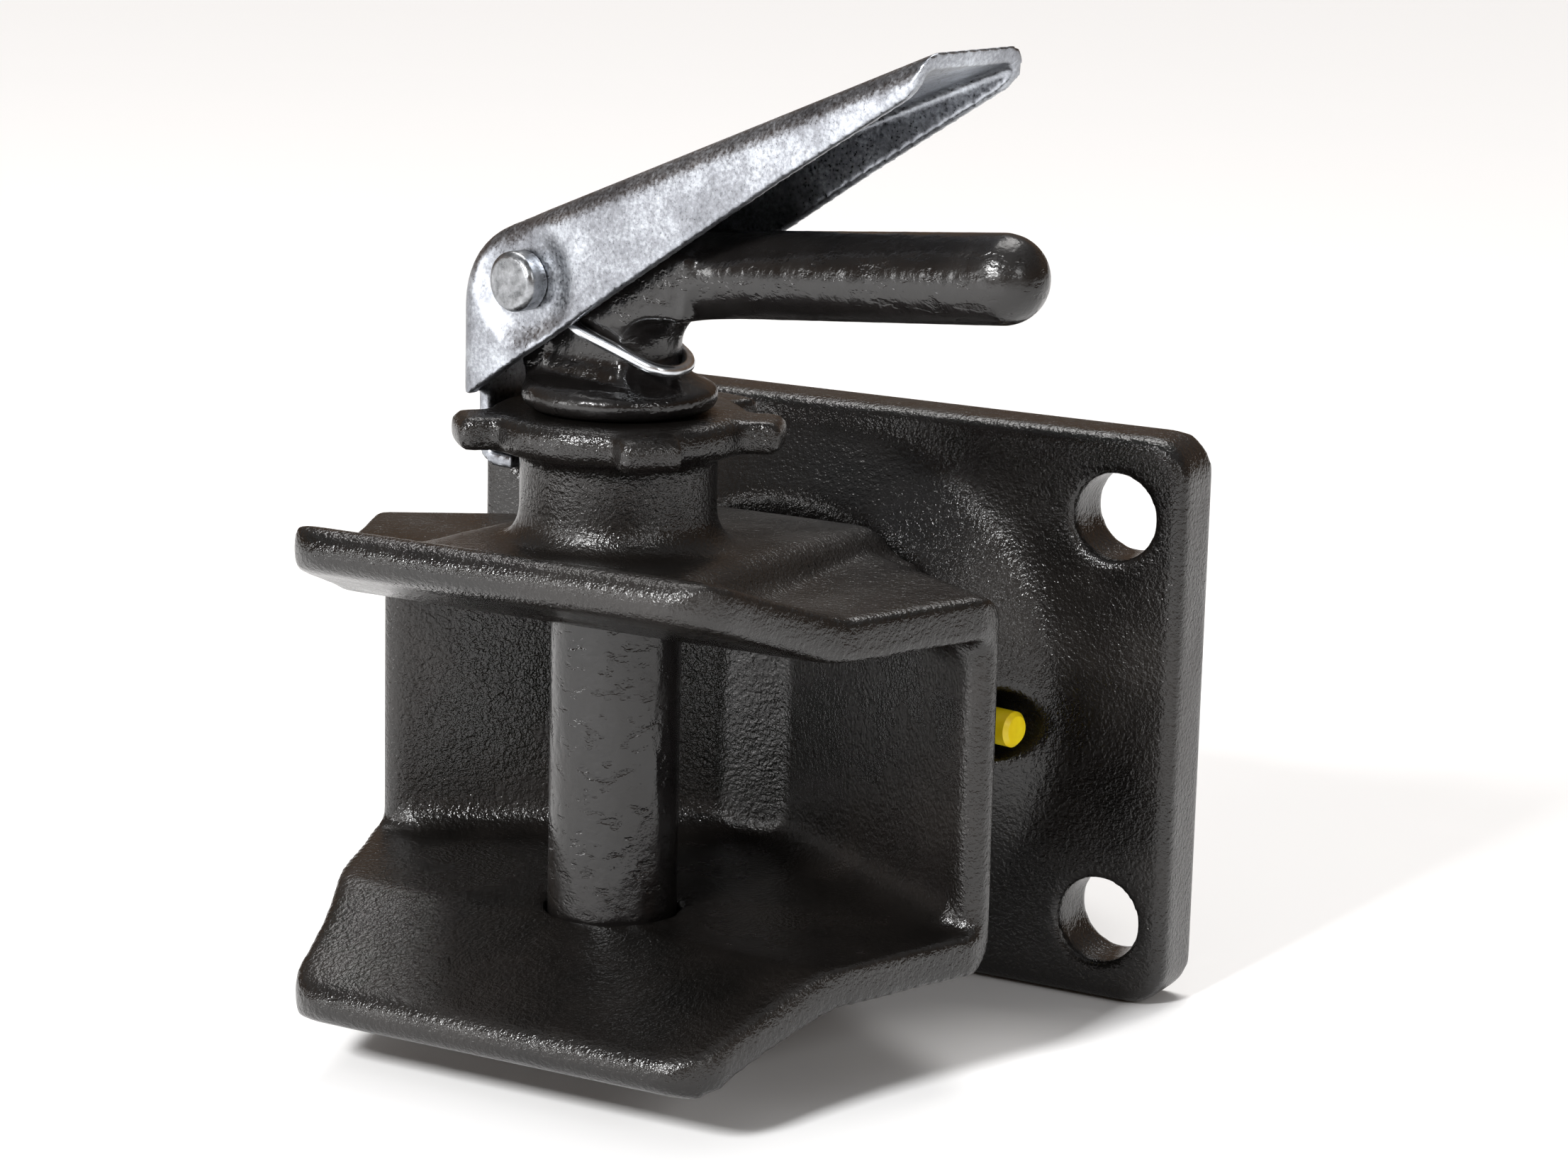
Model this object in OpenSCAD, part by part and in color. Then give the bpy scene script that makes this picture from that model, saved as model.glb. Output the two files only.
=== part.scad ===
// Trailer drawbar coupling: a swivelling cast jaw on a greased mounting plate,
// with a hand lifted pin that a spring lever latches under a lobed flange.
// Millimetres. Origin at the centre of the bolt pattern on the plate's rear face,
// +Z up, the mouth faces -Y and the vehicle is towards +Y.

/* [Mounting plate] */
// Width of the plate
plate_w = 196; // [190:1:220]
// Height of the plate
plate_h = 140; // [134:1:160]
// Thickness of the plate
plate_t = 17.5; // [14:0.5:22]
// Radius of the plate's corners
plate_corner_r = 10; // [6:1:14]
// Rounding of the plate's front edges
plate_edge_r = 3; // [1:0.5:4]
// Distance between bolt holes along X
bolt_dx = 160; // [156:1:164]
// Distance between bolt holes along Z
bolt_dz = 100; // [98:1:104]
// Diameter of a bolt hole
bolt_hole_d = 21; // [17:0.5:23]

/* [Hub] */
// Radius at which the hub leaves the plate
hub_foot_r = 71; // [68:1:74]
// Radius of the hollow fillet round the hub
hub_fillet_r = 14; // [8:1:18]
// Slope of the hub's flank, measured from the plate
hub_slope = 39; // [32:1:46]
// Distance from the plate's rear face to the hub's front face
hub_front = 31.5; // [29:0.5:34]
// Radius of the boss behind the plate
rear_boss_r = 41; // [38:1:43]
// Length of the boss behind the plate
rear_boss_l = 26; // [20:1:32]
// Bore of the hub, which holds the bushes
hub_bore_d = 52; // [51:0.5:56]
// Length of each hub bush
bush_l = 24; // [18:1:26]

/* [Grease nipple] */
// Distance from the swivel axis to the nipple's seat
nipple_seat_x = 45; // [43:0.5:48]
// Distance of the nipple's axis in front of the rear face
nipple_front = 23; // [21.5:0.5:24]
// Height of the nipple's axis
nipple_z = -3; // [-6:0.5:6]
// Tilt of the nipple towards the front
nipple_tilt = 12; // [0:1:15]
// Diameter of the nipple's shank
nipple_shank_d = 10; // [8:0.5:10]
// Diameter of the yellow cap
cap_d = 8.8; // [8:0.2:10]
// Length of the yellow cap
cap_l = 11.5; // [10:0.5:14]

/* [Jaw] */
// Distance from the rear face to the jaw's shoulder
shoulder_front = 34.5; // [34.5:0.5:36]
// Radius of the jaw's round neck
neck_r = 44; // [40:1:46]
// Distance from the rear face to the back of the mouth
mouth_back = 46.5; // [46:0.5:49]
// Half height of the mouth
mouth_half_h = 34.4; // [32:0.4:36]
// Distance from the rear face to the front of the lips
lip_front = 168.5; // [162:0.5:172]
// Distance from the rear face to where the lips start to flare
flare_start = 128; // [126:1:132]
// Half height of the mouth at the front of the lips
lip_half_h = 47; // [44:0.5:49]
// Half width of the lips at their round corners
corner_x = 57; // [54:0.5:60]
// Thickness of the lips at their front
lip_t = 10.6; // [9:0.2:12]
// Thickness of the jaw plates at their shoulders
jaw_t = 10; // [9:0.5:11]
// Radius of the fillets inside the mouth
mouth_fillet = 7; // [4:0.5:9]
// Radius of the edges where the side walls meet the jaw plates
jaw_edge_r = 9; // [5:0.5:11]
// Slant of the side walls, measured from the plate
wall_angle = 31.8; // [30:0.2:34]
// Half width over the side walls
wall_half = 82.3; // [80:0.5:84]
// Distance from the rear face to the front ends of the side walls
wall_front = 88.3; // [86:0.5:90]
// Thickness of the side walls
wall_t = 8.8; // [8:0.4:10]
// Half width of the raised pad on the upper jaw
pad_half = 30; // [26:1:34]
// Height of the raised pad at the pin
pad_z = 51.5; // [50:0.5:53]
// Slope of the raised pad towards the lips
pad_slope = 3; // [2:0.5:4]

/* [Swivel shaft] */
// Diameter of the swivel shaft
shaft_d = 45; // [43:0.5:46]
// Diameter of the threaded end
thread_d = 39; // [36:0.5:40]
// Length of the thread behind the boss
thread_l = 40; // [38:1:48]
// Size across the flats of the castle nut
nut_af = 60; // [55:1:65]
// Height of the castle nut
nut_h = 28; // [26:1:30]
// Diameter of the split pin
split_pin_d = 6; // [5:0.5:6.3]

/* [Pin tower] */
// Distance from the rear face to the coupling pin's axis
pin_front = 113; // [112:0.5:114]
// Diameter of the coupling pin
pin_d = 30; // [28:0.5:31]
// Clearance of the pin in its bores, per side
pin_gap = 0.6; // [0.3:0.1:0.8]
// Radius of the tower under the lobed flange
tower_r = 22.4; // [21:0.2:23.5]
// Radius of the flared foot of the tower
tower_foot_r = 31; // [29:1:33]
// Underside of the lobed flange
flange_low = 73.2; // [72:0.2:74]
// Top of the lobed flange
flange_top = 82; // [81:0.5:83]
// Radius of the lobed flange
flange_r = 30; // [28:0.5:30.2]
// Radius over the lobes
lobe_r = 37.8; // [36:0.2:38.4]
// Width of a lobe
lobe_w = 13.5; // [11:0.5:15]
// Radius of the boss under the lower jaw
low_boss_r = 24; // [22:1:26]
// Bottom of the boss under the lower jaw
low_boss_z = -53; // [-54:0.5:-50]

/* [Coupling pin] */
// Turn of the pin and its handle about the pin's axis
pin_turn = -12; // [-18:1:-6]
// Bottom of the pin
pin_low = -63; // [-66:1:-60]
// Radius of the collar on the flange
collar_r = 22.3; // [21:0.1:23]
// Thickness of the collar
collar_t = 7; // [6:0.5:8]
// Height of the handle's axis over the pin
handle_z = 112.7; // [111:0.5:114]
// Rise of the handle
handle_rise = 5.8; // [4:0.2:7]
// Diameter of the handle
handle_d = 19.4; // [18:0.2:20.4]
// Length of the handle from the pin's axis
handle_l = 118; // [100:1:124]

/* [Latch lever] */
// Distance of the pivot from the pin's axis, along the handle
pivot_s = 14; // [13:0.5:15]
// Height of the pivot
pivot_z = 111; // [110:0.5:112]
// Diameter of the pivot pin
pivot_d = 8; // [7:0.5:9]
// Diameter of the pivot pin's head
pivot_head_d = 13.6; // [12:0.2:15]
// Height of the lever's outer face over the pin's axis
lever_top = 131; // [130.4:0.2:134]
// Slope of the lever's top
lever_slope = 21.8; // [21:0.2:24]
// Lower end of the lever's flanges at the back
lever_low = 83; // [82:0.5:84]
// Outer radius of the bend between the lever's back and top
lever_bend_r = 20; // [19:0.5:24]
// Outer radius of the lever's long corners
lever_corner_r = 5; // [4:0.5:6]
// Thickness of the lever's sheet
lever_t = 3; // [2.6:0.2:3.4]
// Width over the lever's sides at the pivot
lever_w = 35; // [34:0.5:37]
// Back of the lever, from the pin's axis
lever_back = 34.6; // [34.2:0.2:35.6]
// Reach of the lever's tip, from the pin's axis
lever_tip = 99; // [90:1:104]
// Width of the hook
hook_w = 20; // [16:1:24]
// Free height between the hook and the lobed flange
hook_gap = 4; // [3:0.2:5]
// Diameter of the spring's wire
wire_d = 2.4; // [2:0.1:2.5]
// Turns of each spring coil
coil_turns = 2; // [1:1:2]

/* [Hidden] */
$fn = 64;
// Running clearance of the swivel shaft, per side
run_gap = 0.05;
// Clearance of a piece pressed or screwed in, per side
seat_gap = 0.02;
// Clearance between faces that turn against each other
face_gap = 0.1;
cast_black = "#1d1c1b";
zinc = "#b9bcc0";
bronze = "#a9803f";
// Angles of the lobes about the pin's axis
lobe_angles = [21, 72, 122, 222, 312];
// Height of the underside of the hook's toe
hook_low = flange_low - hook_gap - lever_t - 0.5;
seal_t = shoulder_front - hub_front - face_gap;
washer_t = 4;
disc_t = 2.5;
disc_rise = 1.2;
// Clearance on each side of a spring leg, between the head and the lever
leg_gap = 0.3;
// Width of the flat sided head, which leaves room for the legs inside the lever
head_w = lever_w - 2 * lever_t - 2 * (wire_d + 2 * leg_gap);
leg_y = (head_w / 2 + lever_w / 2 - lever_t) / 2;
// Where the lever's back bends into its top
bend_c = [-lever_back + lever_bend_r,
    lever_top + tan(lever_slope) * (lever_bend_r - lever_back) - lever_bend_r / cos(lever_slope)];
// Clearance of the pivot pin in the head and the lever, per side
pin_run = 0.06;
// Radius of the eye on the pin's head, clear of the lever's web
eye_r = min(9.3, lever_bend_r - lever_t - norm(bend_c - [-pivot_s, pivot_z]) - 0.3);
// Spring on the pivot: mean radius, pitch, and the offset and place of its legs
coil_r = pivot_d / 2 + wire_d / 2 + 0.4;
coil_pitch = wire_d + 0.15;
spring_z = 96;
spring_s = 23;
// Half width of the eye between the coils
eye_half = leg_y - coil_pitch * coil_turns - wire_d / 2 + 0.2;

// Points of an arc from angle a0 to a1 in n steps
function arc(cx, cy, r, a0, a1, n) = [for (i = [0:n]) let (a = a0 + (a1 - a0) * i / n) [cx + r * cos(a), cy + r * sin(a)]];

// Turns a shape drawn with its axis along Z so that the axis points to the front
module to_front() rotate([90, 0, 0]) children();

// Places a shape drawn about Z on the coupling pin's axis, in the turned frame
module on_pin() translate([0, -pin_front, 0]) rotate([0, 0, pin_turn]) children();

// A unit vector along v
function unit(v) = v / norm(v);

// A round wire swept along points, its rings carried along without twist
module wire(p, d, sides = 8) {
    n = len(p);
    t = [for (i = [0:n - 1]) unit(p[min(i + 1, n - 1)] - p[max(i - 1, 0)])];
    u0 = unit(cross(t[0], [0.3, 1, 0.2]));
    u = [for (i = 0, a = u0; i < n; i = i + 1, a = i < n ? unit(a - t[i] * (a * t[i])) : a) a];
    rings = [for (i = [0:n - 1], k = [0:sides - 1]) let (w = cross(t[i], u[i]), g = 360 * k / sides)
        p[i] + d / 2 * (cos(g) * u[i] + sin(g) * w)];
    polyhedron(rings, concat([[for (k = [0:sides - 1]) k]],
        [for (i = [0:n - 2], k = [0:sides - 1]) let (a = i * sides, m = (k + 1) % sides)
            [a + k, a + sides + k, a + sides + m, a + m]],
        [[for (k = [sides - 1:-1:0]) (n - 1) * sides + k]]));
}

// A ring about Z with a square section
module ring(r_out, r_in, h) difference() {
    cylinder(r = r_out, h = h);
    translate([0, 0, -1]) cylinder(r = r_in, h = h + 2);
}

// Section of the plate across one direction, with round front edges
module plate_section(width) {
    e = plate_edge_r;
    translate([-width / 2, 0]) square([width, plate_t - e]);
    translate([-width / 2 + e, 0]) square([width - 2 * e, plate_t]);
    for (s = [-1, 1]) translate([s * (width / 2 - e), plate_t - e]) circle(r = e);
}

// The flat plate with round corners and front edges, its rear face at zero
module plate_slab() {
    cx = plate_w / 2 - plate_corner_r;
    cz = plate_h / 2 - plate_corner_r;
    to_front() {
        rotate([90, 0, 0]) translate([0, 0, -cz]) linear_extrude(2 * cz) plate_section(plate_w);
        rotate([90, 0, 90]) translate([0, 0, -cx]) linear_extrude(2 * cx) plate_section(plate_h);
        for (x = [-cx, cx], z = [-cz, cz]) translate([x, z, 0]) rotate_extrude() intersection() {
            plate_section(2 * plate_corner_r);
            square([plate_corner_r, plate_t]);
        }
    }
}

// Half section of the hub, distance from the axis against distance to the front
module hub_half() {
    fr = hub_fillet_r;
    root = [hub_foot_r - fr * sin(hub_slope), plate_t + fr * (1 - cos(hub_slope))];
    nose = root[0] - (hub_front - root[1]) / tan(hub_slope);
    polygon(concat([[0, -rear_boss_l], [rear_boss_r - 2, -rear_boss_l], [rear_boss_r, 2 - rear_boss_l],
                    [rear_boss_r, 1], [hub_foot_r, 1]],
                   arc(hub_foot_r, plate_t + fr, fr, 270, 270 - hub_slope, 6),
                   [[nose + 1.5, hub_front - 1.5 * tan(hub_slope)], [nose - 1.5, hub_front], [0, hub_front]]));
}

// Places a shape drawn along +X from zero on the nipple's axis
module on_nipple() translate([nipple_seat_x, -nipple_front, nipple_z]) rotate([0, 0, -nipple_tilt]) rotate([0, 90, 0]) children();

module mounting_plate() color(cast_black) difference() {
    union() {
        plate_slab();
        intersection() {
            to_front() rotate_extrude() hub_half();
            cube([plate_w - 1, 2 * plate_h, plate_h - 2], center = true);
        }
    }
    for (x = [-1, 1], z = [-1, 1]) translate([x * bolt_dx / 2, 1, z * bolt_dz / 2]) to_front() cylinder(d = bolt_hole_d, h = plate_t + 2);
    translate([0, rear_boss_l + 1, 0]) to_front() cylinder(d = hub_bore_d, h = rear_boss_l + hub_front + 2);
    on_nipple() cylinder(r = 8.5, h = 30);
    on_nipple() translate([0, 0, -30]) cylinder(d = nipple_shank_d + 2 * seat_gap, h = 31);
}

// A bush of the hub, from the front face or from the rear one
module hub_bush(front) to_front() translate([0, 0, front]) ring(hub_bore_d / 2 - seat_gap, shaft_d / 2 + run_gap, bush_l);

module front_bush() color(bronze) difference() {
    hub_bush(hub_front - bush_l);
    on_nipple() translate([0, 0, -30]) cylinder(d = 5, h = 28);
}

module rear_bush() color(bronze) hub_bush(-rear_boss_l);

// Section of the nipple about its own axis
module grease_nipple() color(zinc) on_nipple() difference() {
    union() {
        translate([0, 0, -9]) cylinder(d = nipple_shank_d, h = 9);
        cylinder(d = 11 / cos(30), h = 4, $fn = 6);
        translate([0, 0, 4]) cylinder(d1 = 9, d2 = 4.6, h = 1.6);
        translate([0, 0, 4]) cylinder(d = 4.6, h = 6);
        translate([0, 0, 8.2]) cylinder(d1 = 4.6, d2 = 6.4, h = 1.4);
        translate([0, 0, 9.6]) cylinder(d1 = 6.4, d2 = 4, h = 2);
    }
    translate([0, 0, -10]) cylinder(d = 3, h = 19.6);
    translate([0, 0, 9]) cylinder(d = 1.6, h = 3);
}

module nipple_ball() color(zinc) on_nipple() translate([0, 0, 8.2]) sphere(d = 2.8);

module nipple_spring() color(zinc) on_nipple()
    for (i = [0:7]) translate([0, 0, -0.9 + i * 1.05]) rotate_extrude($fn = 24) translate([0.85, 0]) circle(d = 1.1, $fn = 16);

module grease_cap() color("#f2d51b") on_nipple() translate([0, 0, 4.9]) difference() {
    union() {
        cylinder(d = cap_d, h = cap_l - 1);
        translate([0, 0, cap_l - 1]) cylinder(d1 = cap_d, d2 = cap_d - 2, h = 1);
    }
    translate([0, 0, -1]) cylinder(d = 6.6, h = cap_l - 1);
    translate([0, 0, -0.1]) cylinder(d1 = 8.6, d2 = 6.6, h = 1.4);
}

module face_seal() color("#26262a") to_front() translate([0, 0, hub_front]) ring(hub_bore_d / 2 + 12, shaft_d / 2 + 1, seal_t);

// Centre of a side wall's round front end, and the outward normal of the wall
wall_end = [wall_half - wall_t / 2, -wall_front + wall_t / 2];
wall_n = [sin(wall_angle), cos(wall_angle)];
jaw_top = mouth_half_h + jaw_t;
// How far a fillet's circle is set past its tangent faces
soft = 0.12;
lip_r = lip_t / 2;
lip_c = [lip_front - lip_r, lip_half_h + lip_r];
flare_angle = atan2(lip_half_h - mouth_half_h, lip_front - lip_r - flare_start);

function flip(list) = [for (i = [len(list) - 1:-1:0]) [-list[i][0], list[i][1]]];

// Plan outline of the jaw: the walls' outer lines, then the sides of the lips
module jaw_plan() {
    half = concat([[0, -shoulder_front + 8]], arc(wall_end[0], wall_end[1], wall_t / 2, 90 - wall_angle, 0, 4),
        [[wall_half, -wall_front - 1], [wall_half - 2.4, -95], [76, -104], [72, -115], [67.5, -126], [64, -134], [60.5, -143]],
        arc(corner_x - 14, -lip_front + 14, 14, 0, -90, 6));
    polygon(concat(half, flip(half)));
}

// Places a section drawn square to the right side wall, and draws it out along the wall.
// The section's X is the wall's outward normal, from its middle, and its Y is the height
module along_wall(from, to) translate([wall_end[0], wall_end[1], 0]) rotate([0, 0, 90 - wall_angle]) rotate([90, 0, 0])
    translate([0, 0, from]) linear_extrude(to - from) children();

// What rounds the outer edge between a side wall and the jaw plate above it
module edge_cutter() along_wall(-120, 8) translate([wall_t / 2, jaw_top]) difference() {
    translate([-jaw_edge_r, -jaw_edge_r]) square(2 * jaw_edge_r);
    translate([soft - jaw_edge_r, soft - jaw_edge_r]) circle(r = jaw_edge_r);
}

// Fillet inside the mouth, between a side wall and the jaw plate above it
module mouth_corner() along_wall(-90, -1) translate([-wall_t / 2, mouth_half_h]) difference() {
    translate([-mouth_fillet, -mouth_fillet]) square(mouth_fillet + 2);
    translate([-mouth_fillet - soft, -mouth_fillet - soft]) circle(r = mouth_fillet);
}

// Places a side section, drawn as distance to the front against height, across the jaw
module across() translate([-150, 0, 0]) rotate([90, 0, 90]) linear_extrude(300) mirror([1, 0]) children();

// Side outline of the jaw with its round lips
module jaw_side() {
    up = lip_c + lip_r * [-sin(flare_angle), cos(flare_angle)];
    knee = up[0] - (up[1] - jaw_top) / tan(flare_angle);
    polygon([[shoulder_front + 2, -jaw_top], [shoulder_front + 2, jaw_top], [knee, jaw_top], up, lip_c, [lip_c[0], -lip_c[1]], [up[0], -up[1]], [knee, -jaw_top]]);
    for (z = [-lip_c[1], lip_c[1]]) translate([lip_c[0], z]) circle(r = lip_r);
}

// Side outline of the mouth
module mouth_side() {
    low = lip_c + lip_r * [sin(flare_angle), -cos(flare_angle)];
    knee = low[0] - (low[1] - mouth_half_h) / tan(flare_angle);
    polygon([[mouth_back, -mouth_half_h], [mouth_back, mouth_half_h], [knee, mouth_half_h], low, [250, low[1]],
             [250, -low[1]], [low[0], -low[1]], [knee, -mouth_half_h]]);
}

// Hollow of the mouth, in front of the walls and round their front ends
module mouth() {
    tip = arc(wall_end[0], wall_end[1], wall_t / 2, -12, -90 - wall_angle, 7);
    n = wall_n * wall_t / 2;
    back = [wall_end[0] - n[0] - (wall_end[1] - n[1] + mouth_back) / -tan(wall_angle), -mouth_back];
    half = concat([[150, -230], [150, tip[0][1]]], tip, [back]);
    intersection() {
        across() mouth_side();
        translate([0, 0, -100]) linear_extrude(200) polygon(concat(half, flip(half)));
    }
}

module jaw() color(cast_black) difference() {
    union() {
        jaw_body();
        tower();
        swivel_shaft();
    }
    translate([0, -pin_front, low_boss_z - 10]) cylinder(r = pin_d / 2 + pin_gap, h = 200);
    translate([0, rear_boss_l + thread_l - 6.5, 0]) cylinder(d = split_pin_d + 0.6, h = 60, center = true);
}

module jaw_body() {
    difference() {
        union() {
            difference() {
                intersection() {
                    translate([0, 0, -100]) linear_extrude(200) jaw_plan();
                    across() jaw_side();
                }
                for (m = [0, 1], k = [0, 1]) mirror([m, 0, 0]) mirror([0, 0, k]) edge_cutter();
            }
            to_front() translate([0, 0, shoulder_front]) rotate_extrude() polygon([[0, 0], [neck_r - 2, 0], [neck_r, 2],
                [neck_r, 13], [neck_r - 3, 17], [neck_r - 9, 22], [neck_r - 14, 27], [0, 27]]);
            pad();
        }
        mouth();
    }
    intersection() {
        for (m = [0, 1], k = [0, 1]) mirror([m, 0, 0]) mirror([0, 0, k]) mouth_corner();
        translate([-wall_half, -wall_front, -jaw_top + 2]) cube([2 * wall_half, wall_front - mouth_back + 2, 2 * jaw_top - 4]);
    }
    translate([0, -pin_front, low_boss_z]) cylinder(r1 = low_boss_r - 2, r2 = low_boss_r, h = 2);
    translate([0, -pin_front, low_boss_z + 2]) cylinder(r = low_boss_r, h = 14);
}

// Section of the raised pad below its top face, with soft shoulders
module pad_section() {
    half = concat([[0, -16], [pad_half + 16, -16]], arc(pad_half + 16, -pad_z + jaw_top + 9, 9.6, 270, 240, 3),
        arc(pad_half, -10, 10, 30, 90, 5), [[0, 0]]);
    polygon(concat(half, flip(half)));
}

// Raised pad on the upper jaw, which runs out under the flare of the lips
module pad() translate([0, -pin_front, pad_z]) rotate([-pad_slope, 0, 0])
    translate([0, pin_front - shoulder_front - 16, 0]) to_front()
        linear_extrude(lip_front - shoulder_front - 26) pad_section();

// Flared tower and lobed flange round the coupling pin
module tower() {
    translate([0, -pin_front, 0]) {
        rotate_extrude() polygon(concat([[0, jaw_top - 6], [tower_foot_r, jaw_top - 6], [tower_foot_r, pad_z - 1]],
            arc(tower_foot_r, pad_z - 1 + tower_foot_r - tower_r, tower_foot_r - tower_r, 270, 180, 6),
            [[tower_r, flange_low - 1.5], [tower_r + 1.5, flange_low], [flange_r - 2, flange_low], [flange_r, flange_low + 2],
             [flange_r, flange_top - 2], [flange_r - 2, flange_top], [0, flange_top]]));
        intersection() {
            for (a = lobe_angles) rotate([0, 0, a]) translate([tower_r - 4, -lobe_w / 2, flange_low - 5])
                cube([2 * flange_r, lobe_w, flange_top - flange_low + 10]);
            rotate_extrude() {
                lobe_h = flange_top - flange_low - 1.2;
                translate([0, flange_low + 0.6]) square([lobe_r - lobe_h / 3, lobe_h]);
                translate([0, flange_low + 0.6 + lobe_h / 3]) square([lobe_r, lobe_h / 3]);
                for (z = [1, 2]) translate([lobe_r - lobe_h / 3, flange_low + 0.6 + z * lobe_h / 3]) circle(r = lobe_h / 3);
            }
        }
    }
}

// Shaft that turns in the hub, with its threaded end
module swivel_shaft() to_front() {
    translate([0, 0, -rear_boss_l + 1]) cylinder(d = shaft_d, h = rear_boss_l + mouth_back - 1);
    translate([0, 0, -rear_boss_l - thread_l + 2]) cylinder(d = thread_d, h = thread_l);
    translate([0, 0, -rear_boss_l - thread_l]) cylinder(d1 = thread_d - 4, d2 = thread_d, h = 2);
}

module thrust_washer() color(zinc) translate([0, rear_boss_l + face_gap + washer_t, 0]) to_front() ring(39, thread_d / 2 + 0.3, washer_t);

// Two cupped spring washers, back to back
module disc_springs() color("#3c3d40") translate([0, rear_boss_l + face_gap + washer_t, 0]) rotate([-90, 0, 0]) {
    cup();
    translate([0, 0, 2 * (disc_t + disc_rise)]) mirror([0, 0, 1]) cup();
}

module cup() rotate_extrude() polygon([[thread_d / 2 + 0.5, disc_rise], [35, 0], [35, disc_t], [thread_d / 2 + 0.5, disc_t + disc_rise]]);

module castle_nut() color(zinc) translate([0, rear_boss_l + face_gap + washer_t + 2 * (disc_t + disc_rise), 0]) rotate([-90, 0, 0]) difference() {
    intersection() {
        union() {
            cylinder(d = nut_af / cos(30), h = nut_h - 10, $fn = 6);
            cylinder(d = nut_af - 6, h = nut_h);
        }
        rotate_extrude() polygon([[0, 0], [nut_af / 2, 0], [nut_af / 2 + 5, 3], [nut_af / 2 + 5, nut_h - 13], [nut_af / 2 - 3, nut_h - 8],
                                  [nut_af / 2 - 3, nut_h], [0, nut_h]]);
    }
    translate([0, 0, -1]) cylinder(d = thread_d + 2 * seat_gap, h = nut_h + 2);
    for (i = [0:2]) rotate(i * 60 + 90) translate([-50, -split_pin_d / 2 - 0.3, nut_h - 9.5])
        cube([100, split_pin_d + 0.6, 20]);
}

// Split pin through the nut's slots: an eye, the round stem and two half round legs
module split_pin() color(zinc) translate([0, rear_boss_l + thread_l - 6.5, 0]) {
    low = nut_af / 2 + 1;
    eye_z = nut_af / 2 + 6.4;
    bend = 9;
    translate([0, 0, -low]) cylinder(d = split_pin_d, h = low + eye_z - 3.6);
    translate([0, 0, eye_z]) rotate([0, 90, 0]) rotate_extrude() translate([4.2, 0]) circle(d = 3.4);
    translate([0, 0, -low - 6]) intersection() {
        cylinder(d = split_pin_d, h = 6.4);
        translate([-5, -10, 0]) cube([10, 9.8, 6.4]);
    }
    translate([0, bend, -low]) rotate([-90, 0, 0]) rotate([0, 90, 0]) rotate_extrude(angle = 65) intersection() {
        translate([bend, 0]) circle(d = split_pin_d);
        square([2 * (bend - 0.2), 20], center = true);
    }
}

// Profile of the pin's head in the plane of the handle
module head_profile() {
    foot = flange_top + collar_t - 1;
    fr = 12;
    side = 18;
    fc = [side + fr, handle_z - handle_d / 2 + tan(handle_rise) * (side + fr) - fr / cos(handle_rise)];
    polygon(concat([[-19, foot], [-21, foot + 6], [-pivot_s - eye_r, pivot_z], [-pivot_s, pivot_z + 1],
        [-pivot_s + 1, pivot_z + eye_r], [0, handle_z + handle_d / 2 - 1], [side + fr, handle_z + handle_d / 2 - 1]],
        arc(fc[0], fc[1], fr, 90 + handle_rise, 180, 8), [[side, foot + 4], [side - 1, foot]]));
    translate([-pivot_s, pivot_z]) circle(r = eye_r);
}

module coupling_pin() color(cast_black) on_pin() difference() {
    union() {
        translate([0, 0, pin_low]) rotate_extrude() polygon([[0, 0], [pin_d / 2 - 4, 0], [pin_d / 2 - 1, 3.4],
            [pin_d / 2, 6], [pin_d / 2, flange_top - pin_low + 1], [0, flange_top - pin_low + 1]]);
        translate([0, 0, flange_top + face_gap]) rotate_extrude() {
            square([collar_r - collar_t / 2, collar_t]);
            translate([collar_r - collar_t / 2, collar_t / 2]) circle(d = collar_t);
        }
        translate([0, head_w / 2, 0]) rotate([90, 0, 0]) linear_extrude(head_w) head_profile();
        translate([0, 0, handle_z]) rotate([0, 90 - handle_rise, 0]) {
            intersection() {
                translate([0, 0, 12]) cylinder(r1 = handle_d / 2 + 4, r2 = handle_d / 2 - 0.5, h = 27);
                translate([0, 0, 20]) cube([handle_d - 0.2, head_w - 0.4, 80], center = true);
            }
            translate([0, 0, 6]) cylinder(d = handle_d, h = handle_l - handle_d / 2 - 6);
            translate([0, 0, handle_l - handle_d / 2]) sphere(d = handle_d);
        }
    }
    translate([-pivot_s, 0, pivot_z]) rotate([90, 0, 0]) cylinder(d = pivot_d + 2 * pin_run, h = 60, center = true);
    for (y = [-eye_half, eye_half + 20]) translate([-pivot_s, y, pivot_z]) rotate([90, 0, 0])
        cylinder(r = coil_r + wire_d / 2 + 4.4, h = 20);
}

module pivot_pin() color(zinc) on_pin() translate([-pivot_s, 0, pivot_z]) rotate([90, 0, 0]) {
    translate([0, 0, -lever_w / 2 - 4.5]) cylinder(d = pivot_d, h = lever_w + 5);
    translate([0, 0, lever_w / 2 + 0.2]) cylinder(d = pivot_head_d, h = 3);
    translate([0, 0, lever_w / 2 + 3.2]) cylinder(d1 = pivot_head_d, d2 = pivot_head_d - 2, h = 1);
    translate([0, 0, -lever_w / 2 - 4.5]) cylinder(d1 = pivot_d + 1, d2 = pivot_d + 3, h = 2);
}

module pivot_washer() color(zinc) on_pin() translate([-pivot_s, lever_w / 2 + 0.2, pivot_z]) rotate([-90, 0, 0]) ring(8, pivot_d / 2 + seat_gap, 2);

// Points of one coil, from its inner end to its outer end
function coil_points(side) = [for (a = [coil_turns * 360 - 60:-18:0]) [-pivot_s - coil_r * sin(a),
    side * (leg_y - coil_pitch * a / 360), pivot_z - coil_r * cos(a)]];

// Short inner end of the wire, which bears on the lever
function coil_stub(side, a) = [-pivot_s - coil_r * sin(a) + 4.5 * cos(a),
    side * (leg_y - coil_pitch * a / 360), pivot_z - coil_r * cos(a) - 4.5 * sin(a)];

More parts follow.
